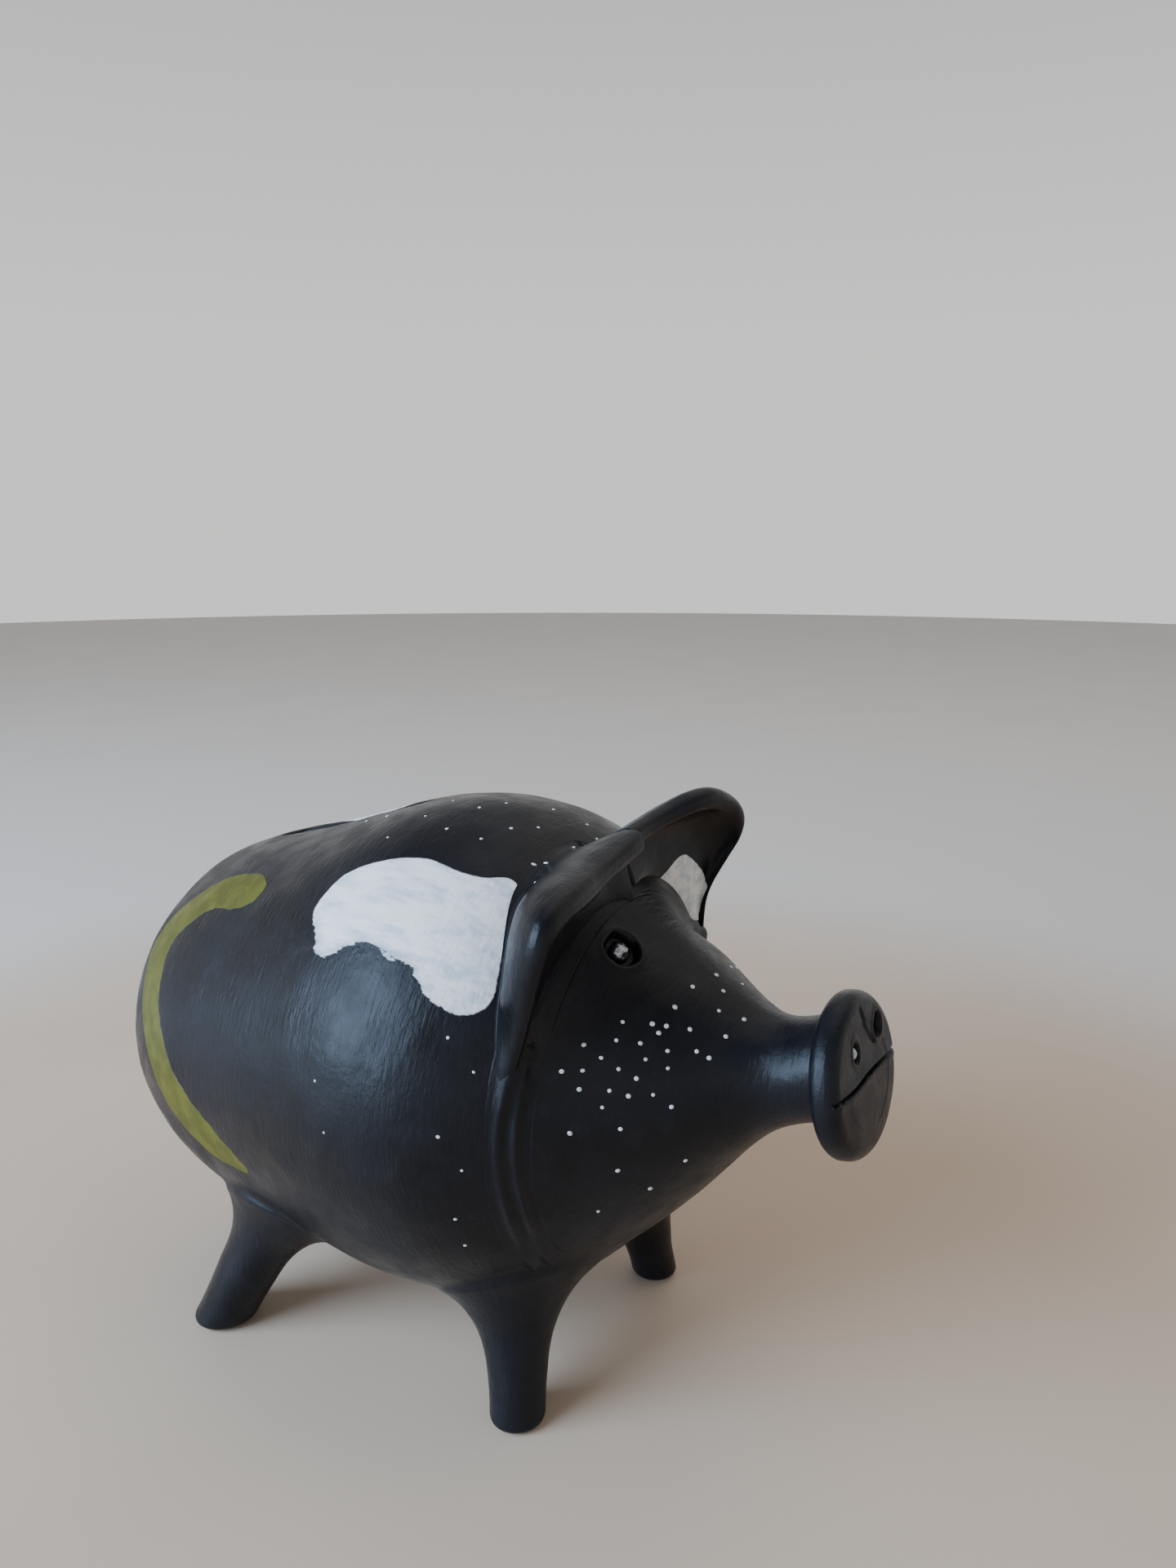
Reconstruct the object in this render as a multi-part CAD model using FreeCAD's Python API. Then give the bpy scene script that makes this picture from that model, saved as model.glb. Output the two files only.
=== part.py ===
import FreeCAD, Part
import math
import os

# Hand-built clay piggy bank.  Millimetres.  +X runs to the snout, +Z is up, z = 0 is the floor,
# the pig's left side is +Y.  Every clay piece is its own solid, luted to its neighbours.

os.makedirs("parts", exist_ok=True)

V = FreeCAD.Vector

# ---- main sizes ---------------------------------------------------------------------------
WALL = 5.0                     # clay wall of the two shells
SEAM_X = 26.0                  # plane in which the two shells are joined
COIL_WIDTH = 4.0               # clay coil squeezed between the shells
COIL_PROUD = 0.8               # how far the coil stands out of the body
COIL_INNER = 2.2               # how far it stands into the hollow

# Round sections of the body from rump to neck: station, radius, height of the axis.
BODY = [
    (-61.0, 0.0, 44.2),
    (-60.5, 5.8, 44.2),
    (-58.5, 13.3, 44.2),
    (-54.0, 23.6, 44.0),
    (-47.0, 28.4, 43.9),
    (-38.0, 31.5, 44.1),
    (-26.0, 33.9, 44.9),
    (-12.0, 36.6, 46.4),
    (0.0, 38.1, 47.4),
    (10.0, 37.3, 47.7),
    (19.0, 34.2, 47.5),
    (27.0, 28.2, 47.7),
    (33.0, 22.6, 48.3),
    (38.5, 17.9, 49.2),
    (43.5, 13.5, 50.6),
    (48.0, 9.8, 52.2),
    (52.0, 7.8, 53.8),
    (56.0, 7.4, 55.4),
    (62.0, 7.4, 57.2),
]
BORE_RADIUS = 3.2              # hollow of the neck

SNOUT_CENTRE = V(63.0, 0.0, 56.2)      # middle of the flat face
SNOUT_TILT = 10.0                      # degrees the face looks upwards
SNOUT_RADIUS = 11.2
SNOUT_THICK = 4.7
SNOUT_BACK_RADIUS = 8.6
SNOUT_ROUND = 1.3                      # rounding of the rim
PLUG_LENGTH = 6.0                      # spigot of the snout in the neck bore
PLUG_PLAY = 0.1
NOSTRILS = [(-2.9, 4.1), (5.3, 5.0)]   # sideways and upwards on the face
NOSTRIL_HALF = (1.0, 1.7)
NOSTRIL_DEPTH = 2.4
MOUTH_WIDTH = 0.7
MOUTH_DEPTH = 1.0
BRIDGE_GROOVE = ((0.1, 8.6), (3.6, 3.4))
BRIDGE_WIDTH = 0.5
BRIDGE_DEPTH = 0.5

EYE_LEFT = V(30.2, 16.9, 66.4)         # set by hand, lower than the right one
EYE_RIGHT = V(31.3, -9.0, 69.9)
EYE_HOLE_RADIUS = 2.4
EYE_HOLE_DEPTH = 1.2
PELLET_RADIUS = 1.8
PELLET_PROUD = 0.5

SLOT_X = -25.0                         # coin slot, along the spine
SLOT_LENGTH = 32.0
SLOT_WIDTH = 5.0

STOPPER_X = -4.0
PAD_Z = 11.6                           # flat recess under the belly
PAD_RADIUS = 13.6
HOLE_RADIUS = 10.0
BOSS_TOP = 16.8                        # inner floor round the stopper hole
BOSS_RADIUS = 15.0
FLANGE_RADIUS = 12.8
FLANGE_THICK = 1.9
FLANGE_GAP = 0.3
STOPPER_TOP = 18.6
STOPPER_PLAY = 0.08
STOPPER_TAPER = 0.9                    # narrowing of the plug at its inner end
GRIP_RADIUS = 4.0                      # finger dimple under the stopper
GRIP_DEPTH = 0.8

# Legs: height, radius.  The axis leans from the foot to the root; the right side is mirrored.
LEG_FRONT = [
    (0.0, 3.0),
    (0.4, 3.6),
    (1.3, 3.9),
    (5.0, 4.1),
    (10.0, 5.0),
    (15.0, 6.9),
    (20.0, 9.6),
    (24.0, 11.6),
    (29.0, 12.2),
    (35.0, 11.0),
]
LEG_REAR = [
    (0.0, 4.1),
    (0.4, 4.7),
    (1.3, 5.0),
    (5.0, 5.2),
    (10.0, 5.8),
    (15.0, 6.9),
    (20.0, 8.6),
    (24.0, 10.2),
    (29.0, 11.2),
    (35.0, 10.6),
]
FOOT_FRONT = V(20.9, 20.4, 0.0)
LEAN_FRONT = V(-0.141, -0.185, 1.0)    # axis of the leg, per millimetre of height
FOOT_REAR = V(-33.2, 27.2, 0.0)
LEAN_REAR = V(0.453, -0.286, 1.0)

# Ears: hoods that stand on the shoulders, from the crown round to the cheek.  Free rim, foot
# inside the body, half thickness.  They were shaped by hand, so the two differ.
EAR_LEFT = [
    ((27.5, -1.5, 83.2), (22.0, -1.0, 76.0), 2.3),
    ((28.4, 8.0, 84.4), (22.0, 6.5, 76.5), 2.4),
    ((31.0, 17.0, 85.9), (22.0, 12.5, 74.5), 2.4),
    ((32.4, 24.4, 84.4), (22.0, 16.5, 72.0), 2.4),
    ((32.0, 28.8, 79.8), (22.5, 19.5, 69.5), 2.3),
    ((29.2, 26.8, 74.2), (23.0, 21.5, 66.5), 2.2),
    ((26.6, 24.4, 68.2), (23.5, 22.0, 63.0), 2.0),
    ((26.2, 25.2, 62.8), (24.0, 22.5, 59.5), 1.8),
    ((25.8, 26.0, 58.0), (24.5, 23.0, 56.0), 1.7),
]
EAR_RIGHT = [
    ((28.5, 1.5, 83.0), (20.5, 1.0, 77.5), 2.3),
    ((30.2, -4.8, 82.2), (20.0, -4.0, 78.0), 2.3),
    ((31.2, -12.7, 81.0), (20.0, -10.0, 76.0), 2.3),
    ((32.3, -20.8, 80.6), (20.0, -15.5, 73.5), 2.3),
    ((32.8, -27.3, 79.5), (20.5, -20.0, 70.0), 2.3),
    ((32.2, -30.0, 76.3), (21.0, -23.3, 66.0), 2.2),
    ((30.6, -29.8, 71.6), (22.0, -25.2, 61.5), 2.0),
    ((28.6, -28.8, 65.9), (23.0, -26.0, 57.5), 1.8),
    ((26.6, -27.8, 59.6), (24.0, -26.3, 54.0), 1.7),
]

# Tail: a thin coil of clay curled flat on the rump, centre line and radius.
TAIL = [
    ((-56.0, 0.0, 55.4), 2.4),
    ((-60.0, 0.0, 55.8), 2.3),
    ((-62.0, -1.9, 53.6), 2.1),
    ((-62.6, -2.8, 50.2), 1.9),
    ((-63.0, -0.6, 47.4), 1.8),
    ((-62.9, 2.4, 48.4), 1.6),
    ((-62.4, 2.6, 51.2), 1.2),
]


# ---- helpers ------------------------------------------------------------------------------
def line_through(sections):
    """Curve through the sections that holds station, axis height and radius."""
    curve = Part.BSplineCurve()
    curve.interpolate([V(x, z, r) for x, r, z in sections])
    return curve


def at_station(curve, x):
    """Radius and axis height at a station."""
    low = curve.FirstParameter
    high = curve.LastParameter
    for _ in range(50):
        mid = (low + high) / 2
        if curve.value(mid).x < x:
            low = mid
        else:
            high = mid
    point = curve.value(low)
    return point.z, point.y


def pod(sections):
    """Closed solid of round sections, from a point at the rump."""
    x, r, z = sections[0]
    wires = [Part.Vertex(V(x, 0, z))]
    for x, r, z in sections[1:]:
        wires.append(Part.Wire([Part.Circle(V(x, 0, z), V(1, 0, 0), r).toShape()]))
    return Part.makeLoft(wires, True, False)


def thinned(sections, wall, least):
    """The same sections moved inwards by a wall, never narrower than a bore."""
    inner = [(sections[0][0] + wall, 0.0, sections[0][2])]
    for before, here, after in zip(sections[1:], sections[2:], sections[3:]):
        along = V(after[0] - before[0], 0, after[1] - before[1])
        along.normalize()
        x = here[0] + along.z * wall
        r = here[1] - along.x * wall
        if r > least and x > inner[-1][0] + 1.0:
            inner.append((x, r, here[2]))
    last = sections[-1]
    inner.append((sections[-3][0], least, sections[-3][2]))
    inner.append((last[0], least, last[2]))
    return inner


def slab(x0, x1):
    """Everything between two planes across the body."""
    return Part.makeBox(x1 - x0, 200, 200, V(x0, -100, -50))


def oval_section(centre, major, normal, half_major, half_minor):
    """Elliptical wire with its long axis along major."""
    minor = normal.cross(major)
    minor.normalize()
    points = []
    for k in range(16):
        a = 2 * math.pi * k / 16
        points.append(centre + major * (half_major * math.cos(a)) + minor * (half_minor * math.sin(a)))
    loop = Part.BSplineCurve()
    loop.interpolate(Points=points, PeriodicFlag=True)
    return Part.Wire([loop.toShape()])


def strap(centres, majors, halves):
    """Loft of oval sections along a centre line."""
    wires = []
    last = len(centres) - 1
    for i, centre in enumerate(centres):
        tangent = centres[min(i + 1, last)] - centres[max(i - 1, 0)]
        tangent.normalize()
        major = majors[i] - tangent * majors[i].dot(tangent)
        major.normalize()
        wires.append(oval_section(centre, major, tangent, halves[i][0], halves[i][1]))
    return Part.makeLoft(wires, True, False)


def mirrored(shape):
    """The same piece on the other side of the pig."""
    return shape.mirror(V(0, 0, 0), V(0, 1, 0))


def turned(profile, centre, normal):
    """Revolve a closed (distance, radius) outline about a line through centre along normal."""
    edges = Part.makePolygon([V(r, 0, d) for d, r in profile + profile[:1]])
    solid = Part.Face(Part.Wire(edges)).revolve(V(0, 0, 0), V(0, 0, 1), 360)
    solid = Part.Solid(solid) if solid.ShapeType != "Solid" else solid
    turn = FreeCAD.Rotation(V(0, 0, 1), normal)
    solid.Placement = FreeCAD.Placement(centre, turn)
    return solid


# ---- body: two shells and the coil between them ------------------------------------------
hollow_sections = thinned(BODY, WALL, BORE_RADIUS)
outer = pod(BODY)
hollow = pod(hollow_sections)
outer_line = line_through(BODY)
hollow_line = line_through(hollow_sections)

tilt = math.radians(SNOUT_TILT)
snout_axis = V(math.cos(tilt), 0, math.sin(tilt))
snout_up = V(-math.sin(tilt), 0, math.cos(tilt))
snout_back = SNOUT_CENTRE - snout_axis * SNOUT_THICK

rear_end = SEAM_X - COIL_WIDTH / 2
front_end = SEAM_X + COIL_WIDTH / 2

# A boss thickens the belly round the stopper hole.
boss = Part.makeCylinder(BOSS_RADIUS, BOSS_TOP - 5.0, V(STOPPER_X, 0, 5.0))
shells = outer.cut(hollow.cut(boss))

pad = Part.makeCylinder(PAD_RADIUS, PAD_Z, V(STOPPER_X, 0, 0))
stopper_hole = Part.makeCylinder(HOLE_RADIUS, BOSS_TOP, V(STOPPER_X, 0, 1.0))

# Coin slot: a straight cut with round ends through the back.
slot_half = SLOT_LENGTH / 2 - SLOT_WIDTH / 2
slot = Part.makeBox(2 * slot_half, SLOT_WIDTH, 40, V(SLOT_X - slot_half, -SLOT_WIDTH / 2, 60))
for end in (-slot_half, slot_half):
    slot = slot.fuse(Part.makeCylinder(SLOT_WIDTH / 2, 40, V(SLOT_X + end, 0, 60)))

body_rear_shell = shells.common(slab(BODY[0][0] - 10, rear_end)).cut(pad).cut(stopper_hole).cut(slot)

# The neck is trimmed square to the snout, and drilled straight for the snout's spigot.
neck_trim = Part.makeCylinder(60, 60, snout_back, snout_axis)
bore_length = PLUG_LENGTH + 1.0
spigot_bore = Part.makeCylinder(BORE_RADIUS, bore_length, snout_back - snout_axis * bore_length, snout_axis)
body_front_shell = shells.common(slab(front_end, BODY[-1][0] + 10)).cut(neck_trim).cut(spigot_bore)

# The coil follows the slope of the body and stands a little out of it and into it.
out_rear = at_station(outer_line, rear_end)[0]
out_front = at_station(outer_line, front_end)[0]
in_rear = at_station(hollow_line, rear_end)[0]
in_front = at_station(hollow_line, front_end)[0]
coil_profile = [
    (-COIL_WIDTH / 2, in_rear),
    (-COIL_WIDTH / 4, (3 * in_rear + in_front) / 4 - COIL_INNER),
    (COIL_WIDTH / 4, (in_rear + 3 * in_front) / 4 - COIL_INNER),
    (COIL_WIDTH / 2, in_front),
    (COIL_WIDTH / 2, out_front),
    (COIL_WIDTH / 4, (out_rear + 3 * out_front) / 4 + COIL_PROUD),
    (-COIL_WIDTH / 4, (3 * out_rear + out_front) / 4 + COIL_PROUD),
    (-COIL_WIDTH / 2, out_rear),
]
seam_height = at_station(outer_line, SEAM_X)[1]
seam_coil = turned(coil_profile, V(SEAM_X, 0, seam_height), V(1, 0, 0))

skin = outer.fuse(seam_coil)

# ---- snout ---------------------------------------------------------------------------------
snout_profile = [
    (-PLUG_LENGTH, 0.0),
    (-PLUG_LENGTH, BORE_RADIUS - PLUG_PLAY),
    (0.0, BORE_RADIUS - PLUG_PLAY),
    (0.0, SNOUT_BACK_RADIUS),
    (1.2, SNOUT_RADIUS - 0.7),
    (2.0, SNOUT_RADIUS),
    (SNOUT_THICK - SNOUT_ROUND, SNOUT_RADIUS),
    (SNOUT_THICK - SNOUT_ROUND * 0.3, SNOUT_RADIUS - SNOUT_ROUND * 0.3),
    (SNOUT_THICK, SNOUT_RADIUS - SNOUT_ROUND),
    (SNOUT_THICK, 0.0),
]
snout_disc = turned(snout_profile, snout_back, snout_axis)


def on_face(side, up):
    """Point on the snout's flat face."""
    return SNOUT_CENTRE + V(0, side, 0) + snout_up * up


for side, up in NOSTRILS:
    centre = on_face(side, up) - snout_axis * NOSTRIL_DEPTH
    ellipse = Part.Ellipse(V(0, 0, 0), NOSTRIL_HALF[1], NOSTRIL_HALF[0])
    oval = Part.Face(Part.Wire([ellipse.toShape()])).extrude(V(0, 0, NOSTRIL_DEPTH + 2))
    turn = FreeCAD.Rotation(snout_up, V(0, 1, 0).negative(), snout_axis, "ZXY")
    oval.Placement = FreeCAD.Placement(centre, turn)
    snout_disc = snout_disc.cut(oval)


def scratch(start, end, width, depth):
    """Straight knife cut in the face, from one point to another."""
    a = on_face(*start)
    b = on_face(*end)
    along = b - a
    length = along.Length
    along.normalize()
    bar = Part.makeBox(length, width, depth + 3, V(0, -width / 2, -depth))
    turn = FreeCAD.Rotation(along, snout_axis.cross(along), snout_axis, "ZXY")
    bar.Placement = FreeCAD.Placement(a, turn)
    return bar


mouth = scratch((-SNOUT_RADIUS - 1, 0.0), (SNOUT_RADIUS + 1, 0.0), MOUTH_WIDTH, MOUTH_DEPTH)
bridge = scratch(BRIDGE_GROOVE[0], BRIDGE_GROOVE[1], BRIDGE_WIDTH, BRIDGE_DEPTH)
snout_disc = snout_disc.cut(mouth).cut(bridge)

# ---- eyes: a pellet in a stamped hole ----------------------------------------------------
def eye_place(point):
    """Centre of the floor of an eye's hole, and the skin's normal, for a point on the face."""
    step = 0.5
    radius_before = at_station(outer_line, point.x - step)[0]
    radius_after = at_station(outer_line, point.x + step)[0]
    radius, height = at_station(outer_line, point.x)
    slope = (radius_after - radius_before) / (2 * step)
    spoke = V(0, point.y, point.z - height)
    spoke.normalize()
    normal = V(-slope, spoke.y, spoke.z)
    normal.normalize()
    return V(point.x, 0, height) + spoke * radius - normal * EYE_HOLE_DEPTH, normal


pellet_top = EYE_HOLE_DEPTH + PELLET_PROUD
pellet_profile = [
    (0.0, 0.0),
    (0.0, PELLET_RADIUS),
    (pellet_top - 0.8, PELLET_RADIUS),
    (pellet_top - 0.3, PELLET_RADIUS * 0.8),
    (pellet_top, PELLET_RADIUS * 0.35),
    (pellet_top, 0.0),
]
eye_left = turned(pellet_profile, *eye_place(EYE_LEFT))
eye_right = turned(pellet_profile, *eye_place(EYE_RIGHT))
for point in (EYE_LEFT, EYE_RIGHT):
    eye_floor, eye_normal = eye_place(point)
    eye_hole = Part.makeCylinder(EYE_HOLE_RADIUS, EYE_HOLE_DEPTH + 4, eye_floor, eye_normal)
    body_front_shell = body_front_shell.cut(eye_hole)


# ---- legs ----------------------------------------------------------------------------------
def leg(foot, lean, sections):
    """Solid leg with a flat sole and a flared root, leaning along lean."""
    wires = []
    for z, radius in sections:
        wires.append(Part.Wire([Part.Circle(foot + lean * z, V(0, 0, 1), radius).toShape()]))
    return Part.makeLoft(wires, True, False)


leg_front_left = leg(FOOT_FRONT, LEAN_FRONT, LEG_FRONT).cut(skin)
leg_rear_left = leg(FOOT_REAR, LEAN_REAR, LEG_REAR).cut(skin)

# ---- ears ----------------------------------------------------------------------------------
def ear(table, side):
    """Hood from its table, trimmed at the middle of the crown and where it meets the body."""
    centres = [(V(*rim) + V(*foot)) * 0.5 for rim, foot, half in table]
    majors = [V(*rim) - V(*foot) for rim, foot, half in table]
    halves = [((V(*rim) - V(*foot)).Length / 2, half) for rim, foot, half in table]
    half_space = Part.makeBox(200, 100, 200, V(-100, 0 if side > 0 else -100, 0))
    return strap(centres, majors, halves).cut(skin).common(half_space)


ear_left = ear(EAR_LEFT, 1)
ear_right = ear(EAR_RIGHT, -1)

# ---- tail ----------------------------------------------------------------------------------
tail_centres = [V(*centre) for centre, radius in TAIL]
tail_majors = [V(1.0, 0.0, 0.3) for entry in TAIL]
tail_halves = [(radius, radius) for centre, radius in TAIL]
tail = strap(tail_centres, tail_majors, tail_halves).cut(outer)

# ---- stopper -------------------------------------------------------------------------------
flange_top = PAD_Z - FLANGE_GAP
flange_bottom = flange_top - FLANGE_THICK
plug_radius = HOLE_RADIUS - STOPPER_PLAY
stopper_profile = [
    (flange_bottom, 0.0),
    (flange_bottom, FLANGE_RADIUS - 0.5),
    (flange_bottom + 0.5, FLANGE_RADIUS),
    (flange_top, FLANGE_RADIUS),
    (flange_top, plug_radius),
    (BOSS_TOP, plug_radius),
    (STOPPER_TOP, plug_radius - STOPPER_TAPER),
    (STOPPER_TOP, 0.0),
]
belly_stopper = turned(stopper_profile, V(STOPPER_X, 0, 0), V(0, 0, 1))
dimple = Part.makeCylinder(GRIP_RADIUS, GRIP_DEPTH, V(STOPPER_X, 0, flange_bottom))
belly_stopper = belly_stopper.cut(dimple)

# ---- export --------------------------------------------------------------------------------
PIECES = {
    "body_rear_shell": body_rear_shell,
    "body_front_shell": body_front_shell,
    "seam_coil": seam_coil,
    "snout_disc": snout_disc,
    "ear_left": ear_left,
    "ear_right": ear_right,
    "eye_left": eye_left,
    "eye_right": eye_right,
    "tail": tail,
    "leg_front_left": leg_front_left,
    "leg_front_right": mirrored(leg_front_left),
    "leg_rear_left": leg_rear_left,
    "leg_rear_right": mirrored(leg_rear_left),
    "belly_stopper": belly_stopper,
}

for name, shape in PIECES.items():
    solids = sorted(shape.Solids, key=lambda s: s.Volume)
    shape = solids[-1]
    print(name, len(solids), round(shape.Volume, 1), shape.isValid())
    shape.exportStep("parts/" + name + ".step")
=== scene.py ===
import math

import bmesh
import bpy
import numpy as np
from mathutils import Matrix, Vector
from mathutils.bvhtree import BVHTree


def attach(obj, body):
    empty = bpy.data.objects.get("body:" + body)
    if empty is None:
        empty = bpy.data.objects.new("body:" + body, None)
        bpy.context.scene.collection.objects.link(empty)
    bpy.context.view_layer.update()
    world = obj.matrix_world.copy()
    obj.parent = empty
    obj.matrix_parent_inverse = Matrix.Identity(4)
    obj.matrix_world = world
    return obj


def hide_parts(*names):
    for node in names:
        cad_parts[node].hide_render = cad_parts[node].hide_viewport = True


# A hand-built clay piggy bank, painted black with white dots, white patches and an olive band.
# Everything is in metres in the CAD frame: +X to the snout, +Y to the pig's left, z = 0 the floor.

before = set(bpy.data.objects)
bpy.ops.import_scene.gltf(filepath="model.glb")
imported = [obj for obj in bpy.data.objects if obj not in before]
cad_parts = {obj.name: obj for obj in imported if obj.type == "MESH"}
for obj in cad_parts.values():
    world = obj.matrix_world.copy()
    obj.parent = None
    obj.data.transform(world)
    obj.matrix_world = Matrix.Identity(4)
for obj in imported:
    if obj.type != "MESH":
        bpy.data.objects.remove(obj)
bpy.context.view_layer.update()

MM = 0.001
TAU = 2 * math.pi

# ---- sizes in millimetres, most of them shared with the CAD model ----
# Round sections of the body from rump to neck: station, radius, height of the axis.
BODY = [
    (-61.0, 0.0, 44.2),
    (-58.5, 13.3, 44.2),
    (-54.0, 23.6, 44.0),
    (-47.0, 28.4, 43.9),
    (-38.0, 31.5, 44.1),
    (-26.0, 33.9, 44.9),
    (-12.0, 36.6, 46.4),
    (0.0, 38.1, 47.4),
    (10.0, 37.3, 47.7),
    (19.0, 34.2, 47.5),
    (27.0, 28.2, 47.7),
    (33.0, 22.6, 48.3),
    (38.5, 17.9, 49.2),
    (43.5, 13.5, 50.6),
    (48.0, 9.8, 52.2),
    (52.0, 7.8, 53.8),
    (56.0, 7.4, 55.4),
    (60.0, 7.4, 56.6),
]
REAR = -61.0
WALL = 5.0
SEAM = 26.0
COIL_WIDTH = 4.0
SMEAR_START = 23.4                 # the coil is smeared over the joint between these stations
SMEAR_END = 28.6

# Dents of the temples: degrees from the top, half width in degrees, depth.
TEMPLES = [(-52, 30, 3.4), (52, 24, 0.5)]
TEMPLE_X = 30.0
TEMPLE_SPREAD = 4.2

SNOUT_CENTRE = np.array([63.0, 0.0, 56.2])    # middle of the face
SNOUT_TILT = math.radians(10)
SNOUT_RADIUS = 11.2
SNOUT_THICK = 4.7
SNOUT_AXIS = np.array([math.cos(SNOUT_TILT), 0, math.sin(SNOUT_TILT)])
SNOUT_UP = np.array([-math.sin(SNOUT_TILT), 0, math.cos(SNOUT_TILT)])
SNOUT_BACK = SNOUT_CENTRE - SNOUT_AXIS * SNOUT_THICK
LEFT = np.array([0.0, 1.0, 0.0])
SPIGOT_LENGTH = 6.0
SPIGOT_RADIUS = 3.1
NECK_BORE = 3.2

EYES = {1: (31.3, -42.6), -1: (31.3, 22.3)}    # station and angle from the top of each side's eye
EYE_HOLE = (2.75, 2.1)             # radius of the stamped hole at its edge and at its floor
EYE_HOLE_DEPTH = 1.5
EYE_SEAT = 1.1                     # how far the pellet's rim lies below the skin
PELLET_RADIUS = 1.5
PELLET_HEIGHT = 0.75

STOPPER_X = -4.0
PAD_Z = 11.6                       # roof of the recess round the hole
PAD_RADIUS = 13.6
HOLE_RADIUS = 10.0
BOSS_TOP = 16.8                    # inner floor round the hole
BOSS_EDGE = (16.5, 14.5)           # radii over which that floor falls away

SLOT_X = -25.0
SLOT_LENGTH = 32.0
SLOT_WIDTH = 5.0
SLOT_EDGE = 1.3                    # how far the slot's edge is worn round

NOSTRILS = [                       # sideways and upwards on the face, half sizes, depth
    ((-2.9, 4.1), 1.0, 1.35, 1.9),
    ((5.3, 5.0), 1.2, 1.6, 2.6),
]
GROOVE = ((0.1, 8.6), (3.6, 3.4))  # groove down the bridge of the snout

# Height and radius of the legs, from the sole up.
LEG_FRONT = [(0.0, 3.2), (0.5, 3.7), (1.5, 3.95), (5.0, 4.1), (10.0, 4.7), (16.0, 5.4), (40.0, 5.8)]
LEG_REAR = [(0.0, 4.3), (0.5, 4.8), (1.5, 5.05), (5.0, 5.2), (10.0, 5.6), (16.0, 6.0), (40.0, 6.4)]
LEG_FILLET = 8.5
# Foot, lean to one of height, sections; these are the left legs.
LEGS = {
    "front": ((20.9, 20.4, 0.0), (-0.141, -0.185, 1.0), LEG_FRONT),
    "rear": ((-33.2, 27.2, 0.0), (0.453, -0.286, 1.0), LEG_REAR),
}

# Ears, from the crown round to the cheek: a point of the free edge, and where the back and the
# front meet the body, as station and angle from the top.  Each was shaped by hand, so they differ.
EAR_LEFT = [
    ((27.6, 0.6, 83.0), (20.5, -3), (27.0, -4)),
    ((28.2, 8.0, 84.3), (20.0, -13), (26.0, -14)),
    ((30.4, 16.0, 86.0), (20.0, -23), (25.6, -24)),
    ((31.8, 23.4, 84.7), (20.0, -33), (25.6, -34)),
    ((31.8, 28.3, 80.0), (20.5, -41), (25.8, -42)),
    ((29.4, 27.2, 74.2), (21.0, -48), (26.0, -49)),
    ((27.0, 25.2, 68.2), (22.0, -55), (26.0, -56)),
    ((26.2, 25.6, 62.8), (23.0, -62), (26.2, -63)),
    ((25.8, 26.4, 58.5), (24.0, -69), (26.5, -70)),
    ((25.2, 26.4, 55.0), (24.6, -75), (26.3, -76)),
]
EAR_RIGHT = [
    ((29.5, -0.2, 82.9), (19.0, 2), (28.5, 2)),
    ((30.2, -4.8, 82.0), (18.5, 7), (27.5, 9)),
    ((31.2, -12.7, 80.8), (18.0, 12), (27.0, 17)),
    ((32.5, -20.8, 80.2), (18.0, 19), (26.8, 26)),
    ((33.0, -27.3, 79.3), (18.5, 28), (26.5, 35)),
    ((32.5, -30.0, 76.3), (20.0, 37), (26.3, 43)),
    ((30.8, -29.8, 71.6), (21.5, 46), (26.2, 51)),
    ((28.8, -28.7, 65.9), (22.5, 54), (26.3, 59)),
    ((26.8, -27.6, 59.8), (23.5, 63), (26.6, 66)),
    ((25.9, -28.5, 54.6), (24.5, 73), (26.4, 74)),
    ((25.4, -28.4, 50.0), (24.6, 84), (26.2, 84)),
]
EAR_THICK = 1.7                    # half thickness of an ear's free edge
EAR_CURL = 0.6                     # how far the free edge rolls forwards
# White inside the left ear: rows of its table, and how far the paint reaches out of the crease.
EAR_WHITE = ([0, 1.9, 2.6, 3.4, 5.8, 7.2, 9], [-2, -1, 4.4, 6.0, 5.4, 0, -2])

TAIL = [
    ((-56.0, 0.0, 55.4), 2.4),
    ((-60.0, 0.0, 55.8), 2.3),
    ((-62.0, -1.9, 53.6), 2.1),
    ((-62.6, -2.8, 50.2), 1.9),
    ((-63.0, -0.6, 47.4), 1.8),
    ((-62.9, 2.4, 48.4), 1.6),
    ((-62.4, 2.6, 51.2), 1.2),
]
TAIL_END = -64.75                  # the curl is pressed flat here


# ---- curves and noise ----
def spline(xs, ys):
    """Natural cubic spline through the points, as a function on arrays."""
    xs = np.asarray(xs, float)
    ys = np.asarray(ys, float)
    n = len(xs)
    h = np.diff(xs)
    system = np.eye(n)
    right = np.zeros(n)
    for i in range(1, n - 1):
        system[i, i - 1] = h[i - 1]
        system[i, i] = 2 * (h[i - 1] + h[i])
        system[i, i + 1] = h[i]
        right[i] = 3 * ((ys[i + 1] - ys[i]) / h[i] - (ys[i] - ys[i - 1]) / h[i - 1])
    c = np.linalg.solve(system, right)
    b = np.diff(ys) / h - h * (2 * c[:-1] + c[1:]) / 3
    d = np.diff(c) / (3 * h)

    def value(x):
        x = np.clip(np.asarray(x, float), xs[0], xs[-1])
        i = np.clip(np.searchsorted(xs, x) - 1, 0, n - 2)
        t = x - xs[i]
        return ys[i] + b[i] * t + c[i] * t ** 2 + d[i] * t ** 3

    return value


def splined(t, points, s):
    """Places at s on the smooth curve that passes each point at its own t."""
    return np.stack([spline(t, column)(s) for column in np.array(points, float).T], -1)


def root_of(x):
    """Distance from the rump along which the outline is smooth, even at the pole."""
    return np.sqrt(np.maximum(np.asarray(x, float) - REAR, 0))


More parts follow.
